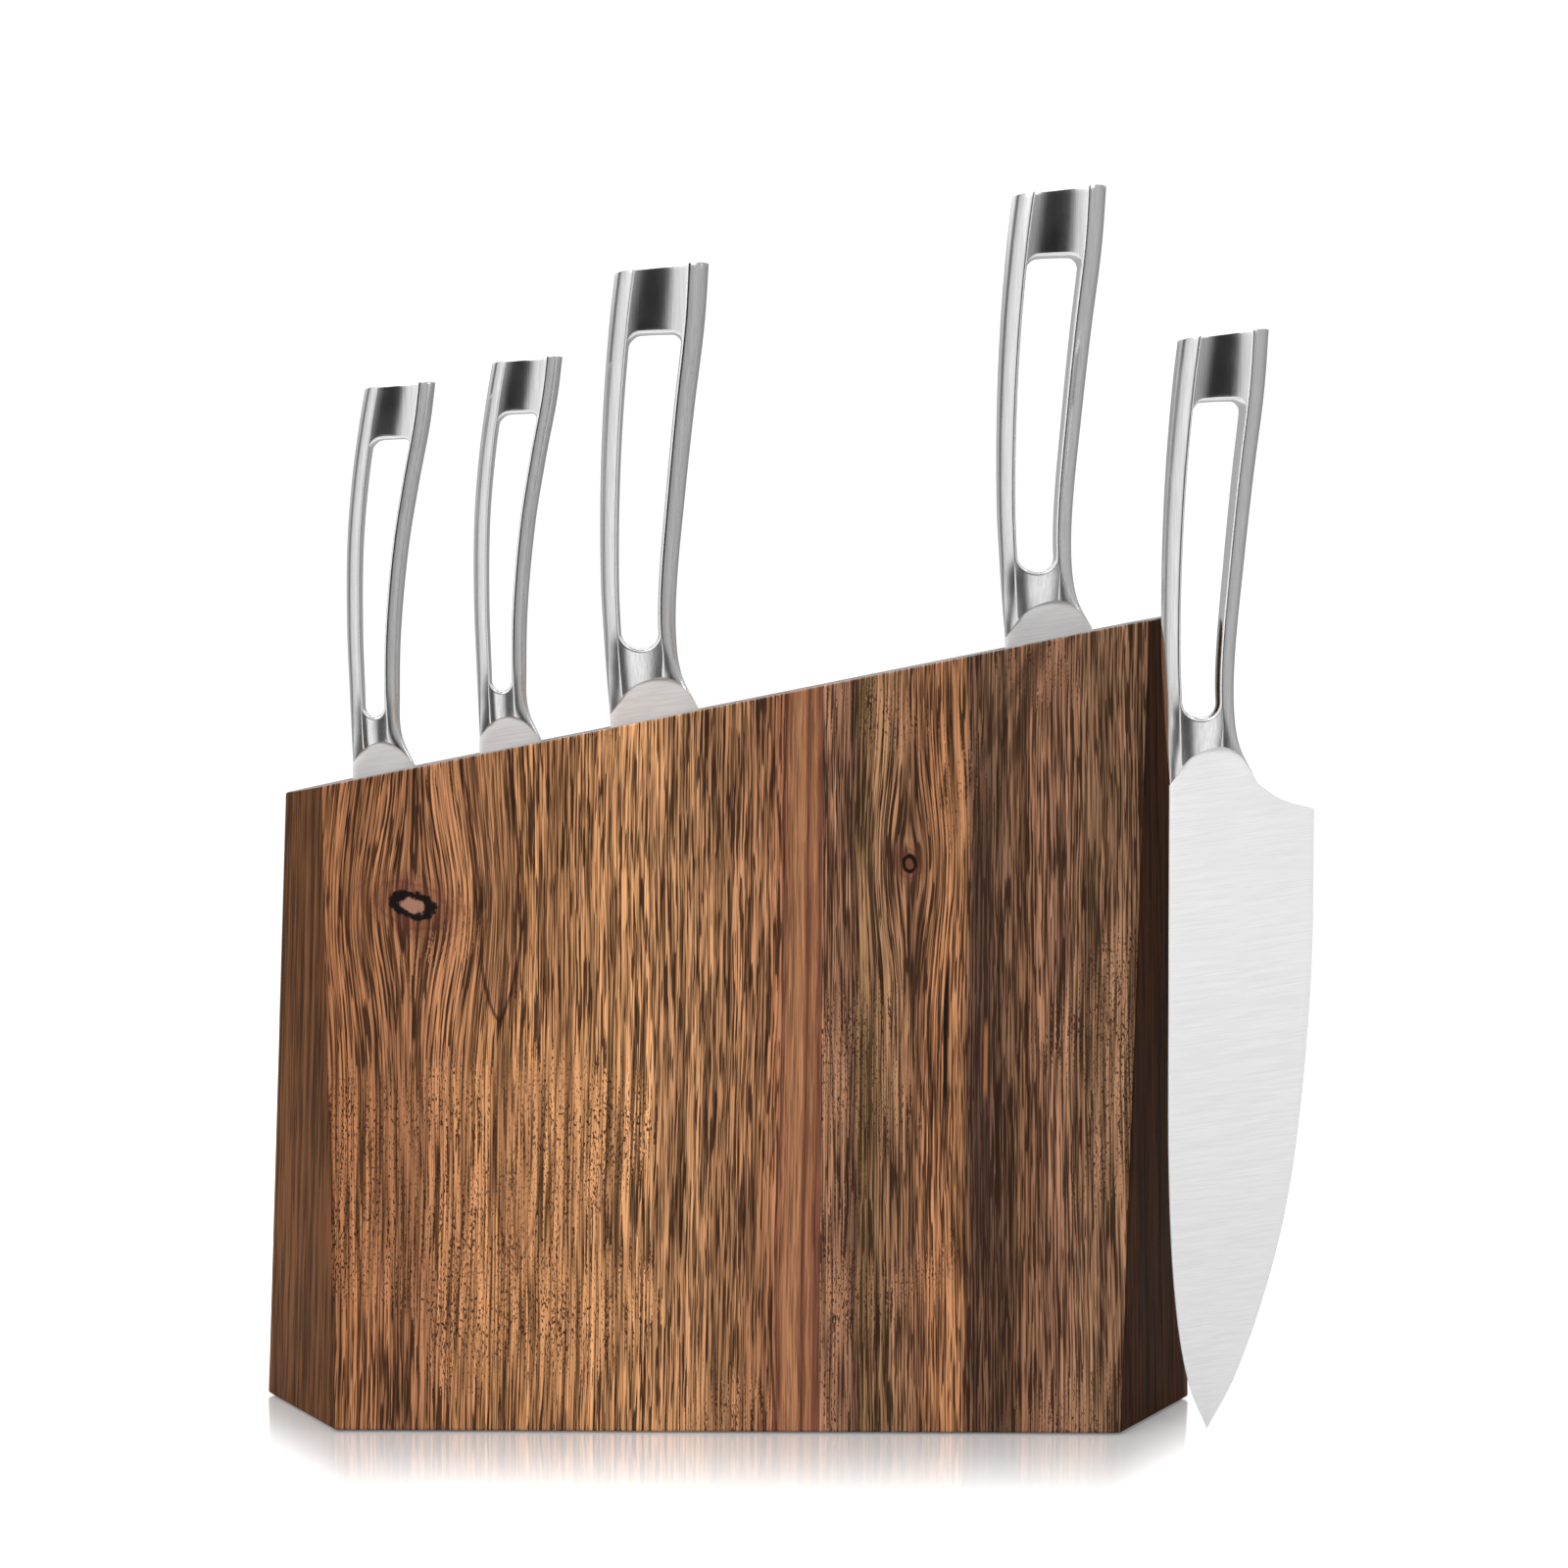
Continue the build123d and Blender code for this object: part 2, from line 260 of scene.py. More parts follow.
def makeBrushing():
    # long fine scratches along one direction
    tree, given, out = newGroup(
        "brushing",
        [("Position", vectorKind, None), ("Turn", floatKind, 0.0), ("Across", floatKind, 5000.0),
         ("Along", floatKind, 60.0)],
        [("Scratches", floatKind), ("Cloud", floatKind)])
    turned = tree.nodes.new("ShaderNodeVectorRotate")
    turned.rotation_type = "Y_AXIS"
    feed(tree, turned.inputs["Vector"], given["Position"])
    feed(tree, turned.inputs["Angle"], given["Turn"])
    x, y, z = splitXyz(tree, turned.outputs[0])
    stretched = joinXyz(tree, calc(tree, "MULTIPLY", x, given["Across"]),
                        calc(tree, "MULTIPLY", y, given["Across"]),
                        calc(tree, "MULTIPLY", z, given["Along"]))
    feed(tree, out["Scratches"], noise(tree, stretched, (1, 1, 1), 3.0, 0.65))
    feed(tree, out["Cloud"], noise(tree, given["Position"], (55, 55, 30), 3.0, 0.6))
    return tree


knotFlow = makeKnotFlow()
woodGrain = makeWoodGrain()
sawnFigure = makeSawnFigure()
brushing = makeBrushing()


# colours are linear
lightBoard = {
    # facet is the slanted sides' colour, darkened with painted shade
    "seed": 0.0, "wander": 0.006, "facetWidth": 0.024, "facet": (0.108, 0.044, 0.017),
    "streakDark": 0.26, "streakLight": 1.90, "poreDark": 0.92,
    "across": [  # base colour of the front face, from its outer edge to its glued edge
        (0.00, (0.275, 0.120, 0.056)), (0.18, (0.310, 0.142, 0.072)), (0.34, (0.375, 0.182, 0.084)),
        (0.46, (0.350, 0.172, 0.082)), (0.60, (0.520, 0.265, 0.128)), (0.74, (0.420, 0.217, 0.110)),
        (0.88, (0.275, 0.132, 0.068)), (0.912, (0.290, 0.125, 0.066)), (0.918, (0.150, 0.062, 0.040)),
        (0.926, (0.320, 0.140, 0.074)), (0.945, (0.400, 0.190, 0.100)), (0.962, (0.380, 0.175, 0.090)),
        (0.968, (0.130, 0.050, 0.034)), (0.976, (0.350, 0.155, 0.082)), (0.986, (0.370, 0.165, 0.086)),
        (0.992, (0.190, 0.072, 0.046)), (1.00, (0.200, 0.080, 0.050))],
    "calm": (0.905, 0.930),
}
darkBoard = {
    # facet is the slanted sides' colour, darkened strongly with painted shade, for the side that gets
    # little light
    "seed": 3.1, "wander": 0.005, "facetWidth": 0.024, "facet": (0.036, 0.012, 0.003),
    "streakDark": 0.24, "streakLight": 2.05, "poreDark": 0.9,
    "across": [  # from its glued edge to its outer edge
        (0.00, (0.300, 0.152, 0.092)), (0.09, (0.270, 0.140, 0.086)), (0.105, (0.090, 0.046, 0.033)),
        (0.12, (0.230, 0.132, 0.066)), (0.22, (0.230, 0.125, 0.070)), (0.31, (0.190, 0.092, 0.050)),
        (0.36, (0.300, 0.138, 0.068)), (0.46, (0.300, 0.142, 0.070)), (0.485, (0.120, 0.063, 0.040)),
        (0.60, (0.130, 0.070, 0.044)), (0.66, (0.165, 0.083, 0.047)), (0.77, (0.290, 0.148, 0.092)),
        (0.87, (0.215, 0.119, 0.070)), (1.00, (0.205, 0.112, 0.066))],
    "calm": None,
}

woodColours = {
    "figureInside": (0.235, 0.113, 0.062, 1), "figureLine": (0.070, 0.028, 0.020, 1),
    "pore": (0.030, 0.013, 0.008, 1), "knotHalo": (0.125, 0.042, 0.026, 1),
    "knotRing": (0.06, 0.024, 0.016, 1), "knotEdge": (0.010, 0.007, 0.006, 1)}
woodSurface = {"specular": 0.05, "coatRoughness": 0.12, "bump": 0.6, "bumpHeight": 0.0002}


def boardMaterial(name, node, values, knots=(), figures=(), cracks=(), mirrored=False):
    material, tree, shader, place = newMaterial(name)
    low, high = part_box(node)
    position = place
    for knot in knots:
        out = useGroup(tree, knotFlow, Position=position, X=knot["x"], Z=knot["z"],
                       Width=knot["width"], Height=knot["height"], Push=knot["push"])
        position = out["Position"]
    grain = useGroup(tree, woodGrain, Position=position, Wander=values["wander"], Seed=values["seed"])
    x, y, z = splitXyz(tree, grain["Position"])
    start, end = low.x, high.x
    if abs(low.x) > abs(high.x):
        start += values["facetWidth"]
    else:
        end -= values["facetWidth"]
    if mirrored:
        start, end = end, start
    share = calc(tree, "DIVIDE", calc(tree, "SUBTRACT", x, start), end - start, clamp=True)
    colour = ramp(tree, share, values["across"])
    # where the wood is smooth, with little grain
    calm = between(tree, share, *values["calm"]) if values["calm"] else 0.0
    for figure in figures:
        out = useGroup(tree, sawnFigure, Position=grain["Position"], X=figure["x"], Z=figure["z"],
                       Spread=figure["spread"], Rise=figure["rise"], Lean=figure["lean"],
                       Length=figure["length"])
        colour = blendColour(tree, calc(tree, "MULTIPLY", out["Inside"], figure["dull"]),
                             colour, woodColours["figureInside"])
        calm = calc(tree, "MAXIMUM", calm, calc(tree, "MULTIPLY", out["Inside"], figure["dull"]))
        colour = blendColour(tree, calc(tree, "MULTIPLY", out["Line"], figure["dark"]),
                             colour, woodColours["figureLine"])
    tone = between(tree, grain["Tone"], 0.3, 0.7, 0.74, 1.28)
    streak = between(tree, grain["Streaks"], 0.37, 0.63, values["streakDark"], values["streakLight"])
    even = calc(tree, "MULTIPLY", calm, 0.7)
    shade = calc(tree, "MULTIPLY", tone, streak)
    shade = calc(tree, "MULTIPLY_ADD", calc(tree, "SUBTRACT", 0.92, shade), even, shade)
    warm = calc(tree, "MULTIPLY", shade, 0.90)
    tint = joinXyz(tree, shade, calc(tree, "MULTIPLY", shade, 0.97), warm)
    colour = blendColour(tree, 1.0, colour, tint, "MULTIPLY")
    pores = calc(tree, "MULTIPLY", grain["Pores"], calc(tree, "MULTIPLY_ADD", even, -0.9, 1.0))
    colour = blendColour(tree, calc(tree, "MULTIPLY", pores, values["poreDark"]),
                         colour, woodColours["pore"])
    for crack in cracks:
        off = calc(tree, "SUBTRACT", x, calc(tree, "MULTIPLY_ADD", z, crack["lean"], crack["x"]))
        line = between(tree, calc(tree, "ABSOLUTE", off), crack["width"], crack["width"] * crack["crisp"])
        middle = calc(tree, "ABSOLUTE", calc(tree, "SUBTRACT", z, crack["z"]))
        reach = between(tree, middle, crack["halfLength"], crack["halfLength"] * 0.55)
        amount = calc(tree, "MULTIPLY", calc(tree, "MULTIPLY", line, reach), crack["amount"])
        colour = blendColour(tree, amount, colour, (*crack["colour"], 1))
    for knot in knots:
        colour = knotColour(tree, colour, knot, place)
    # the slanted sides are cut nearly along the fibres, so they show straight thin bands; their colour is
    # also darkened as painted shade, for sides turned away from the light
    facing = tree.nodes.new("ShaderNodeTexCoord").outputs["Normal"]
    onFacet = between(tree, calc(tree, "ABSOLUTE", splitXyz(tree, facing)[0]), 0.2, 0.35)
    bands = noise(tree, place, (420, 420, 5), 3.0, 0.6, offset=(0.1, values["seed"], 0))
    hairs = noise(tree, place, (1400, 1400, 40), 1.0, 0.5)
    bands = calc(tree, "MULTIPLY_ADD", hairs, 0.35, calc(tree, "MULTIPLY", bands, 0.65))
    bands = between(tree, bands, 0.38, 0.62, 0.42, 1.66)
    side = blendColour(tree, 1.0, (*values["facet"], 1), joinXyz(tree, bands, bands, bands), "MULTIPLY")
    feed(tree, shader.inputs["Base Color"], blendColour(tree, onFacet, colour, side))
    rough = between(tree, grain["Streaks"], 0.3, 0.7, 0.72, 0.52)
    feed(tree, shader.inputs["Roughness"], rough)
    shader.inputs["Specular IOR Level"].default_value = woodSurface["specular"]
    # the sanded and oiled top shines when it is seen along its length
    feed(tree, shader.inputs["Coat Weight"], between(tree, splitXyz(tree, facing)[2], 0.5, 0.8))
    shader.inputs["Coat Roughness"].default_value = woodSurface["coatRoughness"]
    height = calc(tree, "MULTIPLY_ADD", grain["Pores"], -1.0, calc(tree, "MULTIPLY", grain["Streaks"], 0.8))
    height = calc(tree, "MULTIPLY_ADD", grain["Fibre"], 0.25, height)
    height = calc(tree, "MULTIPLY", height, calc(tree, "MULTIPLY_ADD", onFacet, -0.7, 1.0))
    addBump(tree, shader, height, woodSurface["bump"], woodSurface["bumpHeight"])
    return material


def knotColour(tree, colour, knot, place):
    # a dark reddish halo, a cracked black ring and a pale centre, at multiples of the knot's own size
    x, y, z = splitXyz(tree, place)
    ruffle = calc(tree, "SUBTRACT", noise(tree, place, (420, 200, 420), 3.0, 0.6), 0.5)
    dx = calc(tree, "DIVIDE", calc(tree, "SUBTRACT", x, knot["x"]), knot["coreWidth"])
    dz = calc(tree, "SUBTRACT", z, knot["z"])
    dz = calc(tree, "MULTIPLY_ADD", dx, knot["tilt"] * knot["coreWidth"], dz)
    dz = calc(tree, "DIVIDE", dz, knot["coreHeight"])
    square = calc(tree, "ADD", calc(tree, "MULTIPLY", dx, dx), calc(tree, "MULTIPLY", dz, dz))
    radius = calc(tree, "SQRT", square)
    radius = calc(tree, "MULTIPLY_ADD", ruffle, 0.9, radius)
    rings = calc(tree, "SINE", calc(tree, "MULTIPLY", radius, 9.0))
    halo = calc(tree, "MULTIPLY", between(tree, radius, knot["halo"], 0.8), 0.62)
    colour = blendColour(tree, halo, colour, woodColours["knotHalo"])
    ringed = calc(tree, "MULTIPLY", between(tree, rings, 0.2, 1.0),
                  between(tree, radius, knot["halo"], 0.9))
    colour = blendColour(tree, calc(tree, "MULTIPLY", ringed, 0.35), colour, woodColours["knotRing"])
    colour = blendColour(tree, between(tree, radius, 1.12, 0.92), colour, woodColours["knotEdge"])
    centre = between(tree, radius, knot["pale"] + 0.1, knot["pale"] - 0.1)
    return blendColour(tree, centre, colour, (*knot["centre"], 1))


handleSteel = {"colour": (0.92, 0.92, 0.925, 1), "dull": (0.80, 0.795, 0.795, 1), "metallic": 1.0,
               "tipShade": 1.0,
               "roughness": (0.15, 0.21), "anisotropy": 0.3, "turn": 0.0, "across": 1700.0, "along": 55.0,
               "bump": 0.22, "bumpHeight": 0.00005}
bladeSteel = {"colour": (1.0, 1.0, 1.0, 1), "dull": (0.90, 0.90, 0.905, 1), "metallic": 0.16,
              "tipShade": 0.78,  # how dark the steel gets towards the floor
              "roughness": (0.34, 0.46), "anisotropy": 0.6, "turn": 0.25, "across": 2300.0, "along": 45.0,
              "bump": 0.25, "bumpHeight": 0.00003}
# the blades that stand in the block are a touch cooler, against the warm light off the wood
slottedSteel = {"colour": (0.94, 0.97, 0.985, 1), "dull": (0.80, 0.83, 0.845, 1), "tipShade": 1.0}
# the rounded edges: polished steel, made near-white and only partly metallic so that they show bright
# lines, a painted highlight
polishedSteelAndHighlight = {"colour": (0.98, 0.98, 0.98, 1), "dull": (0.95, 0.95, 0.95, 1), "metallic": 0.35,
                 "tipShade": 1.0,
                 "roughness": (0.16, 0.24), "anisotropy": 0.0, "turn": 0.0, "across": 1700.0, "along": 55.0,
                 "bump": 0.03, "bumpHeight": 0.00002}


def steelMaterial(name, values, brushAngle):
    material, tree, shader, place = newMaterial(name)
    brushed = useGroup(tree, brushing, Position=place, Turn=math.radians(brushAngle),
                       Across=values["across"], Along=values["along"])
    streak = between(tree, brushed["Scratches"], 0.3, 0.7)
    colour = blendColour(tree, streak, values["dull"], values["colour"])
    if values["tipShade"] < 1.0:
        shade = between(tree, splitXyz(tree, place)[2], 0.0, 0.2, values["tipShade"], 1.0)
        colour = blendColour(tree, 1.0, colour, joinXyz(tree, shade, shade, shade), "MULTIPLY")
    feed(tree, shader.inputs["Base Color"], colour)
    low, high = values["roughness"]
    feed(tree, shader.inputs["Roughness"], between(tree, brushed["Cloud"], 0.25, 0.75, low, high))
    shader.inputs["Metallic"].default_value = values["metallic"]
    shader.inputs["Anisotropic"].default_value = values["anisotropy"]
    shader.inputs["Anisotropic Rotation"].default_value = values["turn"]
    addBump(tree, shader, brushed["Scratches"], values["bump"], values["bumpHeight"])
    return material


# knife shapes are in millimetres, measured from the top of the handle on its belly side
largeHandle = {
    "stations": [  # drop, spine side x, belly side x, thickness
        (-3.0, -27.1, 0.2, 15.0), (19.0, -29.4, -1.1, 14.4), (45.0, -31.1, -4.0, 12.8),
        (72.0, -31.8, -6.6, 11.6), (99.0, -31.5, -8.8, 10.6), (116.0, -30.5, -8.9, 9.4),
        (128.0, -29.6, -6.9, 6.0), (140.0, -28.5, -0.6, 2.9)],
    "widthReach": 137.0,  # how far down the handle its greatest width is looked for
    "buttSlope": 3.5 / 27.1, "rail": (6.4, 5.2), "window": (21.6, 119.9), "corner": 3.6, "windowEnd": 5.6,
    "bolster": [(-28.5, 140.2), (-23.4, 132.6), (-18.0, 129.3), (-12.0, 128.2), (-7.6, 130.3),
                (-4.0, 134.6), (-1.2, 139.3)],
    "dish": 1.25, "ledge": 0.35, "valley": 0.70, "ridgeShift": 3.6, "round": 0.42, "bulge": 0.45,
    "railTurn": 74,
}
smallHandle = {
    "stations": [
        (-3.0, -21.5, 0.2, 12.6), (13.0, -24.2, -1.7, 12.2), (31.5, -26.6, -5.1, 11.2),
        (53.0, -28.1, -8.5, 10.2), (79.0, -28.1, -10.8, 9.4), (100.0, -27.2, -11.2, 8.4),
        (112.6, -26.6, -10.6, 5.8), (123.0, -26.0, -6.2, 2.9)],
    "widthReach": 122.0,
    "buttSlope": 2.4 / 21.5, "rail": (5.1, 4.7), "window": (18.0, 107.7), "corner": 3.0, "windowEnd": 3.6,
    "bolster": [(-26.1, 122.6), (-23.2, 118.4), (-19.4, 116.0), (-15.2, 115.4), (-12.0, 116.8),
                (-9.4, 119.2), (-6.4, 122.8)],
    "dish": 1.0, "ledge": 0.3, "valley": 0.58, "ridgeShift": 2.6, "round": 0.38, "bulge": 0.35,
    "railTurn": 74,
}

# "back" runs from the bolster down the spine to the tip,
# and "edge" from the tip up the cutting edge to the heel
knives = {
    "paring": {
        "handle": smallHandle, "back": [(-26.1, 150), (-25.4, 178), (-21.8, 202), (-15.5, 217.5)],
        "edge": [(-9.5, 201), (-5.6, 178), (-4, 150), (-3.7, 128.8)]},
    "utility": {
        "handle": smallHandle, "back": [(-26.1, 160), (-25.9, 205), (-23, 237), (-16, 256)],
        "edge": [(-9, 240), (-4.4, 212), (-2.4, 170), (-2.2, 129.4)]},
    "santoku": {
        "handle": largeHandle, "back": [(-28.9, 200), (-28.4, 255), (-24.2, 288), (-9, 311), (1, 319)],
        "edge": [(7, 290), (9.4, 250), (10.3, 200), (10.4, 147)]},
    "bread": {
        "handle": largeHandle, "back": [(-28.9, 210), (-28.7, 290), (-25.6, 325), (-17, 339.5), (-9, 341)],
        "edge": [(-3.4, 330), (2, 300), (2.5, 220), (2.6, 146)]},
    "chef": {
        "handle": largeHandle, "back": [(-27.9, 202), (-27, 262), (-24.6, 300), (-20.4, 325), (-14.1, 341)],
        "edge": [(-5.9, 325.3), (2.3, 301.9), (9.3, 273.6), (13.9, 239), (16.5, 195),
                 (16.5, 147)]},
}
dishLean = 0.2  # how far the dishes lean, more for a knife that stands further from the middle
handleSteps = {"rail": 12, "edge": 4, "wall": 5, "web": 30, "buttRows": 14, "railRows": 46, "neckRows": 22,
               "width": 60}
handleDetail = {"rimRound": 0.25, "neckReach": 16, "railShare": 0.3, "deepest": 0.42, "hollowPower": 2.4}
bladeSteps = {"plainRows": 90, "serratedRows": 230, "across": 30}
bladeLook = {"halfThickness": 1.1, "spineRound": 0.5, "edgeHalf": 0.26, "bevel": 0.5, "scoop": 0.75,
             "scoopReach": 6.0, "toothPitch": 7.5, "toothDepth": 1.1, "toothBevel": 3.2}


def slopeAt(rows, i, column):
    upper, lower = rows[max(i - 1, 0)], rows[min(i + 1, len(rows) - 1)]
    return (lower[column] - upper[column]) / (lower[0] - upper[0])


def smoothRow(rows, at):
    # the values beside the first column, on a smooth curve through the rows
    i = 0
    while i < len(rows) - 2 and at > rows[i + 1][0]:
        i += 1
    span = rows[i + 1][0] - rows[i][0]
    t = (at - rows[i][0]) / span
    found = []
    for column in range(1, len(rows[0])):
        start = (rows[i][column] * (2 * t**3 - 3 * t**2 + 1)
                 + slopeAt(rows, i, column) * span * (t**3 - 2 * t**2 + t))
        end = (rows[i + 1][column] * (3 * t**2 - 2 * t**3)
               + slopeAt(rows, i + 1, column) * span * (t**3 - t**2))
        found.append(start + end)
    return found


def smoothLine(points):
    # a function from 0..1 to a point on a smooth curve through the points, by length
    rows = [(0.0, *points[0])]
    for a, b in zip(points, points[1:]):
        rows.append((rows[-1][0] + math.dist(a, b), *b))
    total = rows[-1][0]
    return lambda share: smoothRow(rows, share * total)


def addGrid(bm, rows, polishedColumns=(), polishedRows=()):
    # quads between rows of points; points shared with other patches are welded later,
    # and the polished columns or rows of quads take the second material, whitened as a painted highlight
    made = [[bm.verts.new(point) for point in row] for row in rows]
    for j, (upper, lower) in enumerate(zip(made, made[1:])):
        for i in range(len(upper) - 1):
            face = bm.faces.new((upper[i], upper[i + 1], lower[i + 1], lower[i]))
            face.material_index = 1 if i in polishedColumns or j in polishedRows else 0


def finishMesh(name, bm, toWorld, skins, sharp):
    # mirror the front half to the back, weld, and mark the sharp edges
    half = list(bm.verts) + list(bm.edges) + list(bm.faces)
    copied = bmesh.ops.duplicate(bm, geom=half)["geom"]
    mirrored = [item for item in copied if isinstance(item, bmesh.types.BMVert)]
    for vertex in mirrored:
        vertex.co.y = -vertex.co.y
    bmesh.ops.remove_doubles(bm, verts=bm.verts, dist=0.004)
    for vertex in bm.verts:
        vertex.co = toWorld(vertex.co)
    bmesh.ops.dissolve_degenerate(bm, edges=bm.edges, dist=1e-6)
    bmesh.ops.recalc_face_normals(bm, faces=bm.faces)
    for edge in bm.edges:
        if len(edge.link_faces) == 2 and edge.calc_face_angle() > math.radians(sharp):
            edge.smooth = False
    for face in bm.faces:
        face.smooth = True
    mesh = bpy.data.meshes.new(name)
    bm.to_mesh(mesh)
    bm.free()
    for skin in skins:
        mesh.materials.append(skin)
    piece = bpy.data.objects.new(name, mesh)
    bpy.context.scene.collection.objects.link(piece)
    return piece


def easeIn(value):
    value = min(max(value, 0.0), 1.0)
    return value * value * (3 - 2 * value)


class HandleShape:
    # x across and drop down in millimetres; y is how far the surface stands in front of the mid-plane
    def __init__(self, values):
        self.values = values
        self.top, self.bottom = values["window"]
        self.round = values["round"]
        self.bulge = values["bulge"]
        self.cornerEnd = self.top + values["corner"]
        self.endStart = self.bottom - values["windowEnd"]

    def bolsterDrop(self, x):
        rows = self.values["bolster"]
        return smoothRow(rows, min(max(x, rows[0][0]), rows[-1][0]))[0]

    def ridges(self, drop):
        # outline and ridge lines: spine, left ridge, right ridge, belly, and half the thickness
        spine, belly, thick = smoothRow(self.values["stations"], drop)
        wide, narrow = self.values["rail"]
        share = min(max((drop - self.top) / (self.bottom - self.top), -0.2), 1.0)
        rail = wide + (narrow - wide) * share - self.round - self.bulge
        neck = easeIn((drop - self.bottom) / handleDetail["neckReach"])
        shift = self.values["ridgeShift"] * neck
        width = belly - spine
        rail = min(rail, handleDetail["railShare"] * width)
        left = spine + rail
        right = belly - rail - shift
        return spine, left, right, belly, thick / 2

    def rail(self, drop, turn, side):
        # a point on a rail's rounded outside, turn 0 at the outline and 90 degrees at the ridge
        spine, left, right, belly, half = self.ridges(drop)
        edge, ridge = (spine, left) if side < 0 else (belly, right)
        boxy = 1 - 0.5 * easeIn((drop - self.bottom) / handleDetail["neckReach"])
        last = math.radians(self.values["railTurn"])
        turn *= last / (math.pi / 2)
        across = (1 - math.cos(turn)) / (1 - math.cos(last))
        return edge + (ridge - edge) * across, half * (math.sin(turn) / math.sin(last)) ** boxy

    def webHeight(self, drop, share):
        # a flat-bottomed hollow, deepest a little towards the spine
        half = self.ridges(drop)[4]
        deepest = handleDetail["deepest"]
        if share < deepest:
            reach = (deepest - share) / deepest
        else:
            reach = (share - deepest) / (1 - deepest)
        return half - self.values["valley"] * (1 - reach ** handleDetail["hollowPower"])


def quarterTurn(steps):
    return [math.pi / 2 * i / steps for i in range(steps + 1)]


def handleMesh(bm, values):
    shape = HandleShape(values)
    r = shape.round
    rimRound = handleDetail["rimRound"]
    turns = quarterTurn(handleSteps["rail"])
    arcs = quarterTurn(handleSteps["edge"])
    walls = quarterTurn(handleSteps["wall"])
    webCount = handleSteps["web"]
    shares = [(1 - math.cos(math.pi * j / webCount)) / 2 for j in range(webCount + 1)]

    def at(x, drop, y):
        return Vector((x, -y, -drop))

    def buttDrop(x):
        return -x * values["buttSlope"]

    # the section across the butt: rail, rounded edge, ledge, dish, ledge, rounded edge, rail
    def buttColumn(kind, value, side):
        # returns a function from 0..1 (butt to window) to a point
        def point(part):
            if kind == "dish":
                x0 = shape.ridges(shape.top)[1] + r
                x1 = shape.ridges(shape.top)[2] - r
                span = value
                u = (span * (x1 - x0)) / values["corner"]
                w = ((1 - span) * (x1 - x0)) / values["corner"]
                bend = 0.0
                for near in (u, w):
                    if near < 1:
                        bend += values["corner"] * (1 - math.sqrt(1 - (1 - near) ** 2))
                end = shape.top - r * math.sin(math.pi * span) ** 0.3 + 0.4 - 0.8 * span + bend
                end = min(end, shape.cornerEnd)
                if span in (0.0, 1.0):
                    end = shape.cornerEnd
                start = buttDrop(x0 + (x1 - x0) * span) + rimRound
                drop = start + (end - start) * part
                spine, left, right, belly, half = shape.ridges(drop)
                x = left + r + (right - left - 2 * r) * span
                fade = 1 - easeIn((drop - shape.top + 1) / (values["corner"] + 0.8))
                ledge = values["ledge"] - values["lean"] * (2 * span - 1)
                if span in (0.0, 1.0):
                    ledge *= fade
                depth = r + ledge + values["dish"] * 4 * span * (1 - span)
                return x, drop, half - depth
            spine, left, right, belly, half = shape.ridges(0)
            start = buttDrop(spine if side < 0 else belly) + rimRound
            drop = start + (shape.cornerEnd - start) * part
            if kind == "rail":
                x = shape.rail(drop, value, side)[0]
                start = buttDrop(x) + rimRound
                drop = start + (shape.cornerEnd - start) * part
                x, y = shape.rail(drop, value, side)
                return x, drop, y
            spine, left, right, belly, half = shape.ridges(drop)
            ridge = left if side < 0 else right
            x = ridge - side * r * math.sin(value)
            start = buttDrop(x) + rimRound
            drop = start + (shape.cornerEnd - start) * part
            spine, left, right, belly, half = shape.ridges(drop)
            ridge = left if side < 0 else right
            return ridge - side * r * math.sin(value), drop, half - r * (1 - math.cos(value))
        return point

    columns = [buttColumn("rail", turn, -1) for turn in turns]
    columns += [buttColumn("edge", arc, -1) for arc in arcs[1:]]
    columns += [buttColumn("dish", share, 0) for share in shares]
    columns += [buttColumn("edge", arc, 1) for arc in arcs[:0:-1]]
    columns += [buttColumn("rail", turn, 1) for turn in turns[::-1]]
    rowCount = handleSteps["buttRows"]
    rows = [[column(i / rowCount) for column in columns] for i in range(rowCount + 1)]
    leftEdge = list(range(len(turns) - 1, len(turns) + len(arcs) - 2))
    rightEdge = [len(columns) - 2 - i for i in leftEdge]
    addGrid(bm, [[at(*point) for point in row] for row in rows], leftEdge + rightEdge)

    # rounded rim of the butt, then its flat end
    rim = rows[0]
    normals = []
    for i in range(len(rim)):
        before, after = rim[max(i - 1, 0)], rim[min(i + 1, len(rim) - 1)]
        along = Vector((after[0] - before[0], after[2] - before[2]))
        if i == 0:
            along = Vector((0, 1))
        if i == len(rim) - 1:
            along = Vector((0, -1))
        along.normalize()
        normals.append(Vector((-along.y, along.x)))
    rimRows = []
    for arc in arcs:
        inset = rimRound * (1 - math.cos(arc))
        rimRows.append([
            at(x - normal.x * inset, drop - rimRound * math.sin(arc), max(y - normal.y * inset, 0))
            for (x, drop, y), normal in zip(rim, normals)])
    addGrid(bm, rimRows)
    flat = [Vector((point.x, 0, point.z)) for point in rimRows[-1]]
    addGrid(bm, [rimRows[-1], flat])

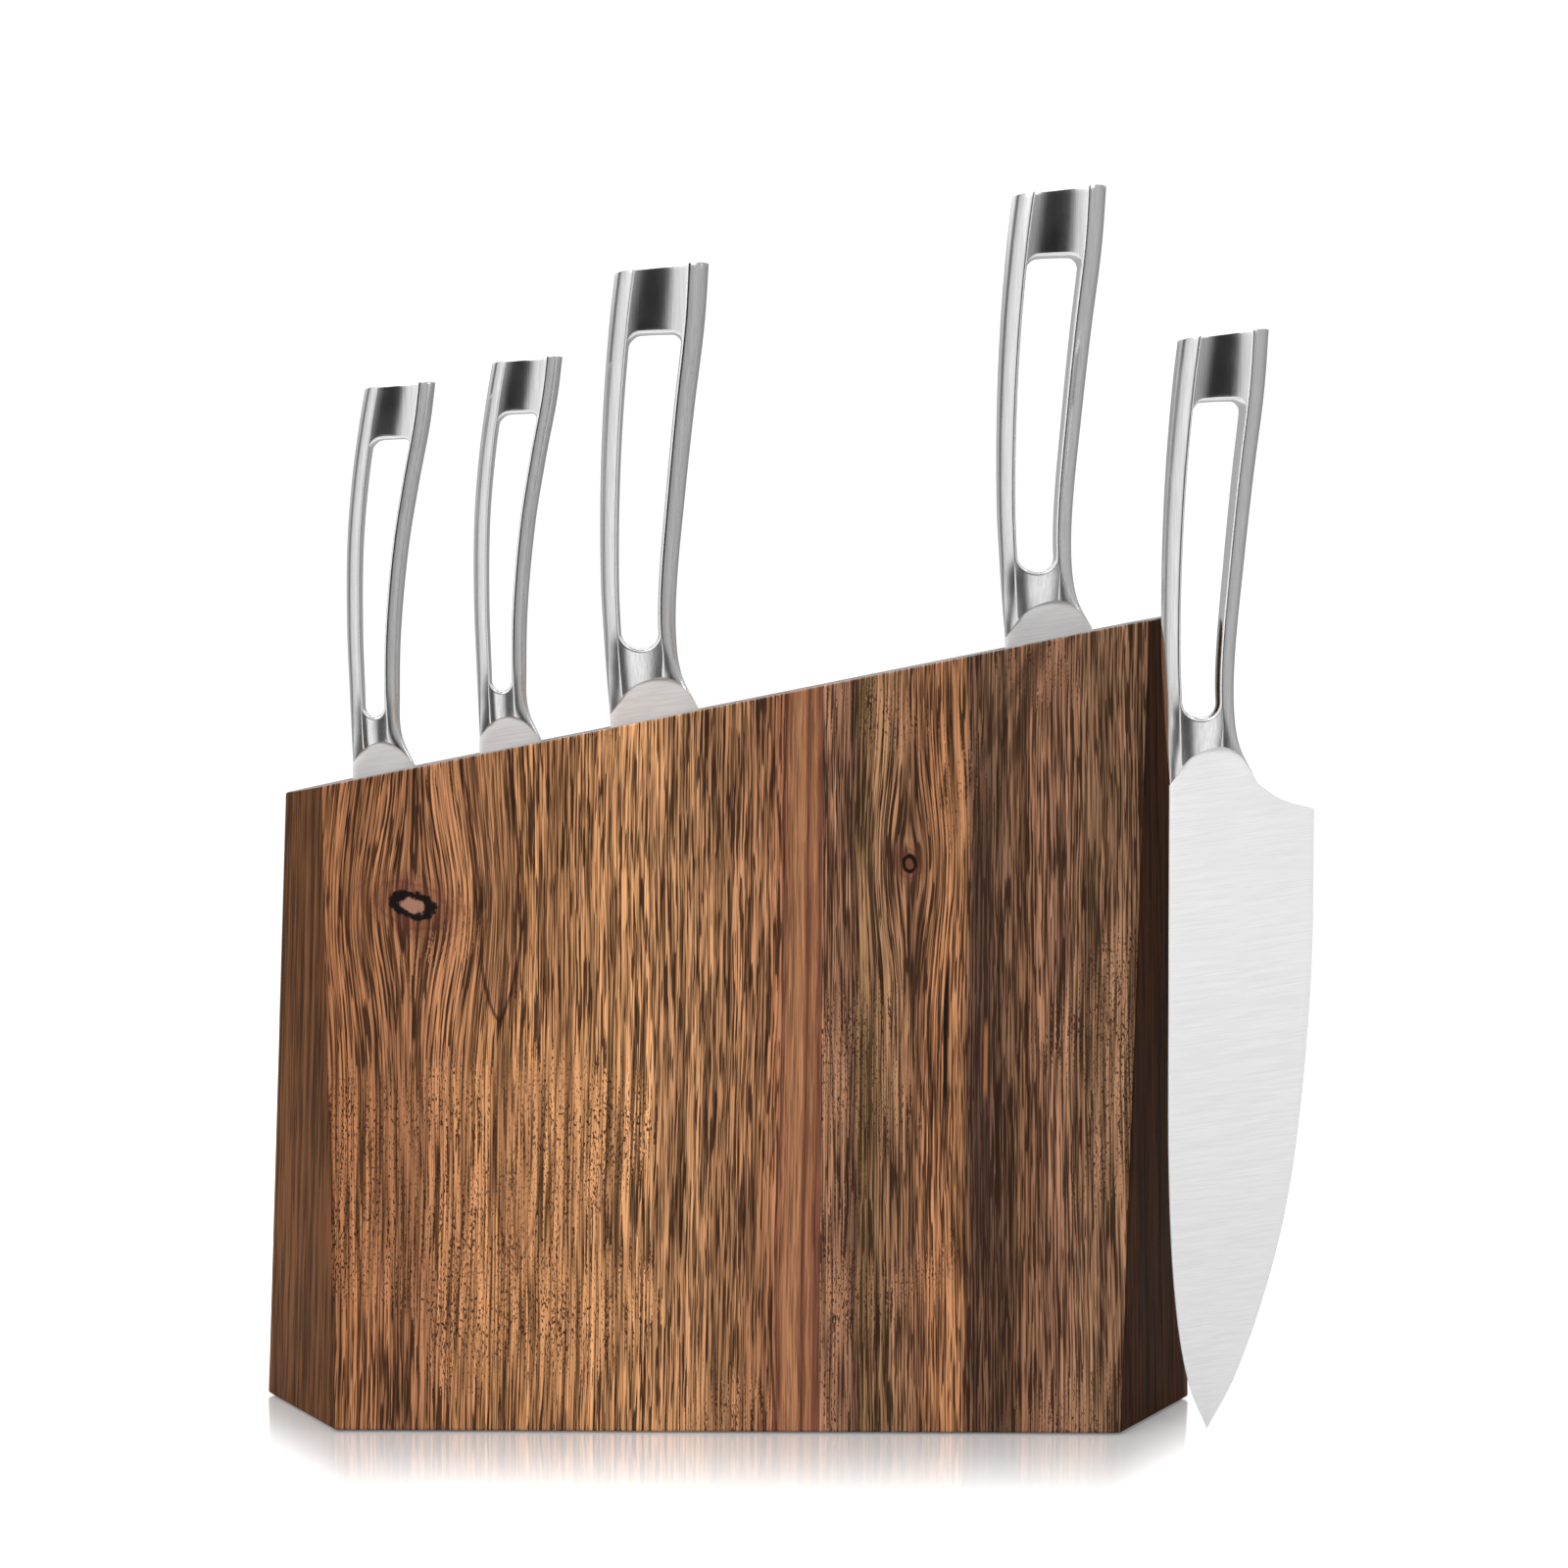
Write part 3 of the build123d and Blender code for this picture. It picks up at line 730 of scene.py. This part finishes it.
    # the window's upper edge, which leans over into the two rails at its ends
    first = len(turns) + len(arcs) - 1
    crown = rows[-1][first:first + len(shares)]
    strip = [[] for _ in range(len(arcs) + len(walls) - 1)]
    for j, (x, drop, y) in enumerate(crown):
        keep = min(1.0, min(j, webCount - j) / 5)
        across = max(0, 1 - (x - crown[0][0]) / values["corner"])
        across -= max(0, 1 - (crown[-1][0] - x) / values["corner"])
        across = min(max(across, -1), 1)
        down = math.sqrt(1 - across * across)
        for i, arc in enumerate(arcs):
            strip[i].append(at(x + keep * across * r * math.sin(arc),
                               drop + keep * down * r * math.sin(arc),
                               y - keep * r * (1 - math.cos(arc))))
        last = strip[len(arcs) - 1][-1]
        for i, wall in enumerate(walls[1:]):
            out = values["bulge"] * math.sin(wall)
            strip[len(arcs) + i].append(
                Vector((last.x + across * out, last.y * math.cos(wall), last.z - down * out)))
    addGrid(bm, strip, polishedRows=range(len(arcs) - 1))

    # the two rails beside the window
    railRows = handleSteps["railRows"]
    length = shape.endStart - shape.cornerEnd
    drops = [shape.cornerEnd + length * i / railRows for i in range(railRows + 1)]
    for side in (-1, 1):
        grid = []
        for drop in drops:
            row = []
            for turn in turns:
                x, y = shape.rail(drop, turn, side)
                row.append(at(x, drop, y))
            spine, left, right, belly, half = shape.ridges(drop)
            ridge = left if side < 0 else right
            for arc in arcs[1:]:
                row.append(at(ridge - side * r * math.sin(arc), drop, half - r * (1 - math.cos(arc))))
            for wall in walls[1:]:
                out = r + values["bulge"] * math.sin(wall)
                row.append(at(ridge - side * out, drop, (half - r) * math.cos(wall)))
            grid.append(row)
        addGrid(bm, grid, leftEdge)

    # the neck, from the window's round end to the edge of the blade
    depth = shape.bottom + r - shape.endStart
    neckRows = handleSteps["neckRows"]
    grid = []
    for i in range(neckRows + 1):
        part = i / neckRows
        row = []
        for turn in turns:
            row.append(neckPoint(shape, part, "left", turn, depth))
        for share in shares[1:-1]:
            row.append(neckPoint(shape, part, "web", share, depth))
        for turn in turns[::-1]:
            row.append(neckPoint(shape, part, "right", turn, depth))
        grid.append([at(*point) for point in row])
    addGrid(bm, grid)
    addGrid(bm, [grid[-1], [Vector((point.x, 0, point.z)) for point in grid[-1]]])

    # the window's lower edge
    first = len(turns) - 1
    curve = [(point.x, -point.z, -point.y) for point in grid[0][first:first + len(shares)]]
    middle = (curve[0][0] + curve[-1][0]) / 2
    strip = [[] for _ in range(len(arcs) + len(walls) - 1)]
    for x, drop, y in curve:
        inward = Vector((middle - x, shape.endStart - drop)).normalized()
        for i, arc in enumerate(arcs):
            out = r * math.sin(arc)
            strip[i].append(at(x + inward.x * out, drop + inward.y * out, y - r * (1 - math.cos(arc))))
        for i, wall in enumerate(walls[1:]):
            out = r + values["bulge"] * math.sin(wall) * (1 + inward.y ** 2)
            strip[len(arcs) + i].append(
                at(x + inward.x * out, drop + inward.y * out, (y - r) * math.cos(wall)))
    addGrid(bm, strip, polishedRows=range(len(arcs) - 1))


def neckPoint(shape, part, kind, value, depth):
    # rails keep their turn and the web its share, while the drop runs down to the bolster's curve
    start = shape.endStart
    if kind == "web":
        start += depth * math.sqrt(max(0.0, 1 - (1 - 2 * value) ** 2))

    def place(drop):
        if kind == "web":
            spine, left, right, belly, half = shape.ridges(drop)
            return left + (right - left) * value, shape.webHeight(drop, value)
        return shape.rail(drop, value, -1 if kind == "left" else 1)

    end = shape.bottom + 12
    for step in range(8):  # settles on the bolster's curve
        end = shape.bolsterDrop(place(end)[0])
    drop = start + (end - start) * part
    x, y = place(drop)
    return x, drop, y


def bladeMesh(bm, knife, curve, serrated):
    # curve is the bolster's line, already at this knife's size
    look = bladeLook
    bolster = smoothLine(curve)
    back = smoothLine([curve[0]] + knife["back"])
    edge = smoothLine(knife["edge"][::-1] + [knife["back"][-1]])
    heel = knife["edge"][-1]
    bend = ((heel[0] + curve[-1][0]) / 2 - 1.5, (heel[1] + curve[-1][1]) / 2 + 1.0)
    heelLine = smoothLine([curve[-1], bend, heel])
    tip = knife["back"][-1]
    count = bladeSteps["serratedRows"] if serrated else bladeSteps["plainRows"]
    bevel = look["toothBevel"] if serrated else look["bevel"]
    topCount = bladeSteps["across"]
    bolsterShare = 0.66
    spineCurve = (0, 0.62, 0.92, 1)  # how the rounded spine swells to the full thickness

    def topAt(u):
        if u <= bolsterShare:
            return bolster(u / bolsterShare)
        return heelLine((u - bolsterShare) / (1 - bolsterShare))

    rows = []
    for i in range(count + 1):
        v = (i / count) ** (1.0 if serrated else 1.25)
        left, right = back(v), edge(v)
        if serrated:
            phase = (right[1] / look["toothPitch"]) % 1.0
            inZone = easeIn((right[1] - heel[1] - 4) / 3) * easeIn((tip[1] - 12 - right[1]) / 6)
            right = (right[0] - look["toothDepth"] * math.sin(math.pi * phase) * inZone, right[1])
        width = max(math.dist(left, right), 0.001)
        near = [min(offset / width, 0.08 * k) for k, offset in enumerate((0, 0.12, 0.35, 0.7))]
        last = max(1 - bevel / width, 0.6)
        middle = [near[-1] + (last - near[-1]) * k / topCount for k in range(1, topCount)]
        row = []
        for k, u in enumerate(near + middle + [last, 1.0]):
            top = topAt(u)
            topLeft, topRight = topAt(0), topAt(1)
            x, drop = [
                (1 - v) * top[a] + v * tip[a]
                + (1 - u) * (left[a] - (1 - v) * topLeft[a] - v * tip[a])
                + u * (right[a] - (1 - v) * topRight[a] - v * tip[a]) for a in (0, 1)]
            body = min(1.0, max(0.0, (u - near[-1]) / (last - near[-1])))
            y = look["halfThickness"] + (look["edgeHalf"] - look["halfThickness"]) * body
            if k < len(spineCurve):
                y = look["spineRound"] + (look["halfThickness"] - look["spineRound"]) * spineCurve[k]
            if u == 1.0 or v == 1.0:
                y = 0.0
            y *= 1 - 0.55 * easeIn((v - 0.8) / 0.2)
            if u < bolsterShare:
                reach = math.dist((x, drop), top) / look["scoopReach"]
                y += look["scoop"] * math.sin(math.pi * u / bolsterShare) ** 0.7 * math.exp(-reach * reach)
            row.append(Vector((x, -y, -drop)))
        rows.append(row)
    addGrid(bm, rows)
    for line in (rows[0], [row[0] for row in rows], [row[-1] for row in rows]):
        addGrid(bm, [line, [Vector((point.x, 0, point.z)) for point in line]])


def makeKnife(name, knife, handleSkins, bladeSkins):
    low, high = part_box(f"{name}_handle")
    rows = knife["handle"]["stations"]
    reach = knife["handle"]["widthReach"]
    samples = [smoothRow(rows, reach * i / handleSteps["width"]) for i in range(handleSteps["width"] + 1)]
    nominalWidth = max(sample[1] for sample in samples) - min(sample[0] for sample in samples)
    scaleX = (high.x - low.x) / (nominalWidth * mm)
    scaleZ = (high.z - low.z) / (rows[-1][0] * mm)
    origin = Vector((high.x, (low.y + high.y) / 2, high.z))

    bm = bmesh.new()
    lean = dishLean * (low.x + high.x) / (cadBox[1].x - cadBox[0].x)
    handleMesh(bm, {**knife["handle"], "lean": lean})
    handle = finishMesh(f"{name}_handle_steel", bm, lambda p: origin + Vector(
        (p.x * scaleX * mm, p.y * mm, p.z * scaleZ * mm)), handleSkins, 38)
    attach(handle, f"{name}_knife")
    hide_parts(f"{name}_handle")

    curve = [(x * scaleX, drop * scaleZ) for x, drop in knife["handle"]["bolster"]]
    bm = bmesh.new()
    bladeMesh(bm, knife, curve, name == "bread")
    blade = finishMesh(f"{name}_blade_steel", bm, lambda p: origin + p * mm, bladeSkins, 30)
    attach(blade, f"{name}_knife")
    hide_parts(f"{name}_blade")
    print("knife", name, "scale", round(scaleX, 3), round(scaleZ, 3))


frontKnots = [
    {"x": -0.0997, "z": 0.1615, "width": 0.020, "height": 0.030, "push": 0.65, "coreWidth": 0.0072,
     "coreHeight": 0.0043, "tilt": 0.22, "halo": 3.3, "pale": 0.5, "centre": (0.36, 0.185, 0.120)},
]
rightKnots = [
    {"x": 0.0552, "z": 0.1756, "width": 0.010, "height": 0.028, "push": 0.8, "coreWidth": 0.0024,
     "coreHeight": 0.0028, "tilt": 0.0, "halo": 3.0, "pale": 0.6, "centre": (0.16, 0.055, 0.030)},
]
frontFigures = [
    {"x": -0.0737, "z": 0.1256, "spread": 0.0078, "rise": 0.011, "lean": -0.045, "length": 0.105,
     "dull": 0.35, "dark": 0.9},
    {"x": -0.0669, "z": 0.0490, "spread": 0.0080, "rise": 0.014, "lean": 0.02, "length": 0.075,
     "dull": 0.25, "dark": 0.45},
]
rightCracks = [  # the crack, and other thin lines that run like one
    {"x": 0.067, "z": 0.1215, "lean": 0.0, "width": 0.0011, "crisp": 0.3, "halfLength": 0.030,
     "amount": 1.0, "colour": (0.012, 0.009, 0.008)},
    {"x": 0.0775, "z": 0.130, "lean": 0.008, "width": 0.0050, "crisp": 0.2, "halfLength": 0.095,
     "amount": 0.55, "colour": (0.045, 0.024, 0.018)},
    {"x": 0.0797, "z": 0.115, "lean": 0.0, "width": 0.0009, "crisp": 0.3, "halfLength": 0.014,
     "amount": 0.9, "colour": (0.36, 0.15, 0.06)},
    {"x": 0.0410, "z": 0.226, "lean": 0.227, "width": 0.0034, "crisp": 0.2, "halfLength": 0.026,
     "amount": 0.6, "colour": (0.050, 0.026, 0.018)},
    {"x": -0.0220, "z": 0.222, "lean": 0.48, "width": 0.0026, "crisp": 0.2, "halfLength": 0.030,
     "amount": 0.55, "colour": (0.050, 0.026, 0.018)},
]


def plainSlot(node, material):
    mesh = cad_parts[node].data
    mesh.materials.clear()
    mesh.materials.append(material)


def woodBoard(node, material, values, **marks):
    plainSlot(node, boardMaterial(material, node, values, **marks))


woodBoard("front_board_left", "acaciaLight", lightBoard, knots=frontKnots, figures=frontFigures)
woodBoard("front_board_right", "acaciaDark", darkBoard, knots=rightKnots, cracks=rightCracks)
woodBoard("back_board_left", "acaciaDarkBack", {**darkBoard, "seed": 7.3})
woodBoard("back_board_right", "acaciaLightBack", {**lightBoard, "seed": 11.9}, mirrored=True)
coreWood = boardMaterial("coreWood", "core_bottom_rail", {**lightBoard, "seed": 5.2})
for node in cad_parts:
    if node.startswith("core_") or node == "dowel_pins":
        plainSlot(node, coreWood)


padLook = {"dark": (0.012, 0.012, 0.013), "light": (0.03, 0.03, 0.031), "grit": 900,
           "roughness": (0.75, 0.92), "bump": 0.4, "bumpHeight": 0.0002}


def padMaterial():
    material, tree, shader, place = newMaterial("blackRubber")
    grit = noise(tree, place, (padLook["grit"],) * 3, 3.0, 0.6)
    colour = ramp(tree, grit, [(0.3, padLook["dark"]), (0.7, padLook["light"])])
    feed(tree, shader.inputs["Base Color"], colour)
    feed(tree, shader.inputs["Roughness"], between(tree, grit, 0.3, 0.7, *padLook["roughness"]))
    addBump(tree, shader, grit, padLook["bump"], padLook["bumpHeight"])
    return material


plainSlot("non_slip_pad", padMaterial())
print("wood done")

handleSkin = steelMaterial("brushedHandleSteel", handleSteel, 0)
bladeSkin = steelMaterial("groundBladeSteel", bladeSteel, 98)
slottedSkin = steelMaterial("slottedBladeSteel", {**bladeSteel, **slottedSteel}, 98)
# steel for the rounded edges, whitened as a painted highlight
edgeHighlightSkin = steelMaterial("polishedEdgeSteelAndHighlight", polishedSteelAndHighlight, 0)
for name, knife in knives.items():
    groundSkin = bladeSkin if name == "chef" else slottedSkin
    makeKnife(name, knife, (handleSkin, edgeHighlightSkin), (groundSkin, edgeHighlightSkin))
print("knives done")


stageLook = {"floorHalf": 0.7, "floorBack": 0.25, "reflection": 0.60, "fade": 0.12,
             "slant": 0.62, "sideFade": 2.2, "floorRoughness": 0.08, "glow": 0.6, "nearGlow": 0.15,
             "keyPower": 20.0, "fillPower": 4.0, "topPower": 11.0, "target": (0, 0, 0.13)}
cameraLook = {"place": (0.00225, -0.9218, 0.2388), "yaw": 0.0151, "pitch": 0.0431, "roll": 0.008,
              "lens": 65.9, "sensor": 36}
# brightness of the studio all round at eye level: degrees from the front, towards the tall end, and level
studioBand = [(-180, 0.40), (-150, 0.48), (-118, 0.52), (-107, 0.10), (-98, 0.10), (-90, 0.62),
              (-60, 0.82), (-40, 0.90), (-20, 0.78), (-10, 0.012), (22, 0.01), (31, 0.33), (60, 0.48),
              (90, 0.48), (118, 0.36), (145, 0.26), (180, 0.40)]
# the same below eye level, where the necks look
lowBand = [(-180, 0.50), (-75, 0.50), (-44, 0.12), (-30, 0.04), (-17, 0.05), (-10, 0.70), (-6, 0.98),
           (9, 0.98), (14, 0.40), (20, 0.05), (42, 0.06), (60, 0.42), (180, 0.50)]


def makeStudio():
    world = bpy.data.worlds.new("studio")
    bpy.context.scene.world = world
    world.use_nodes = True
    tree = world.node_tree
    background = tree.nodes["Background"]
    direction = tree.nodes.new("ShaderNodeTexCoord").outputs["Generated"]
    x, y, z = splitXyz(tree, direction)
    turn = calc(tree, "ARCTAN2", x, calc(tree, "MULTIPLY", y, -1.0))
    share = calc(tree, "MULTIPLY_ADD", turn, 1 / (2 * math.pi), 0.5)
    band, low = [ramp(tree, share, [((degrees + 180) / 360, (level,) * 3) for degrees, level in levels])
                 for levels in (studioBand, lowBand)]
    band = blendColour(tree, between(tree, z, -0.10, -0.22), band, low)
    behind = calc(tree, "MULTIPLY", between(tree, y, 0.35, 0.75), between(tree, z, 0.17, 0.23))
    band = blendColour(tree, behind, band, (1.0, 1.0, 1.0, 1))
    sky = blendColour(tree, between(tree, z, 0.42, 0.75), band, (1.0, 1.0, 1.0, 1))
    sky = blendColour(tree, between(tree, z, 0.74, 0.84), sky, (0.1, 0.1, 0.1, 1))
    sky = blendColour(tree, between(tree, z, -0.45, -0.8), sky, (0.7, 0.7, 0.7, 1))
    seen = tree.nodes.new("ShaderNodeLightPath").outputs["Is Camera Ray"]
    feed(tree, background.inputs["Color"], blendColour(tree, seen, sky, (1.1, 1.1, 1.1, 1)))


def areaLight(name, place, target, size, power):
    light = bpy.data.lights.new(name, "AREA")
    light.shape = "RECTANGLE"
    light.size, light.size_y = size
    light.energy = power
    lamp = bpy.data.objects.new(name, light)
    lamp.location = place
    lamp.rotation_euler = (Vector(target) - Vector(place)).to_track_quat("-Z", "Y").to_euler()
    lamp.visible_camera = False
    bpy.context.scene.collection.objects.link(lamp)


def makeFloor():
    material, tree, shader, place = newMaterial("whiteGloss")
    x, y, z = splitXyz(tree, place)
    low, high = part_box("front_board_left")
    depth = calc(tree, "SUBTRACT", calc(tree, "ABSOLUTE", y), -low.y)
    slant = calc(tree, "MULTIPLY", calc(tree, "ABSOLUTE", y), stageLook["slant"])
    wide = calc(tree, "SUBTRACT", calc(tree, "ADD", calc(tree, "ABSOLUTE", x), slant), -low.x)
    away = calc(tree, "MAXIMUM", depth, calc(tree, "MULTIPLY", wide, stageLook["sideFade"]))
    near = between(tree, away, stageLook["fade"], 0.0)
    feed(tree, shader.inputs["Metallic"], calc(tree, "MULTIPLY", near, stageLook["reflection"]))
    shader.inputs["Base Color"].default_value = (0.98, 0.98, 0.98, 1)
    shader.inputs["Roughness"].default_value = stageLook["floorRoughness"]
    shader.inputs["Specular IOR Level"].default_value = 0.0
    seen = tree.nodes.new("ShaderNodeLightPath").outputs["Is Camera Ray"]
    shader.inputs["Emission Color"].default_value = (1, 1, 1, 1)
    fall = stageLook["nearGlow"] - stageLook["glow"]
    lift = calc(tree, "MULTIPLY", seen, calc(tree, "MULTIPLY_ADD", near, fall, stageLook["glow"]))
    feed(tree, shader.inputs["Emission Strength"], lift)
    bm = bmesh.new()
    bmesh.ops.create_grid(bm, x_segments=1, y_segments=1, size=stageLook["floorHalf"])
    bmesh.ops.translate(bm, verts=bm.verts, vec=(0, stageLook["floorBack"], 0))
    mesh = bpy.data.meshes.new("floor")
    bm.to_mesh(mesh)
    bm.free()
    mesh.materials.append(material)
    floor = bpy.data.objects.new("floor", mesh)
    bpy.context.scene.collection.objects.link(floor)


def makeCamera():
    data = bpy.data.cameras.new("camera")
    data.lens = cameraLook["lens"]
    data.sensor_width = cameraLook["sensor"]
    camera = bpy.data.objects.new("camera", data)
    aim = Matrix.Rotation(-cameraLook["yaw"], 4, "Z")
    aim = aim @ Matrix.Rotation(math.pi / 2 - cameraLook["pitch"], 4, "X")
    aim = aim @ Matrix.Rotation(cameraLook["roll"], 4, "Z")
    camera.matrix_world = Matrix.Translation(cameraLook["place"]) @ aim
    bpy.context.scene.collection.objects.link(camera)
    bpy.context.scene.camera = camera


makeStudio()
makeFloor()
makeCamera()
target = stageLook["target"]
areaLight("keyLight", (-0.9, -1.3, 1.5), target, (1.0, 1.0), stageLook["keyPower"])
areaLight("fillLight", (1.3, -1.2, 1.2), target, (0.8, 0.8), stageLook["fillPower"])
areaLight("topLight", (0, 0.3, 1.8), target, (1.4, 0.8), stageLook["topPower"])
bpy.context.scene.view_settings.view_transform = "Standard"

print("scene done")
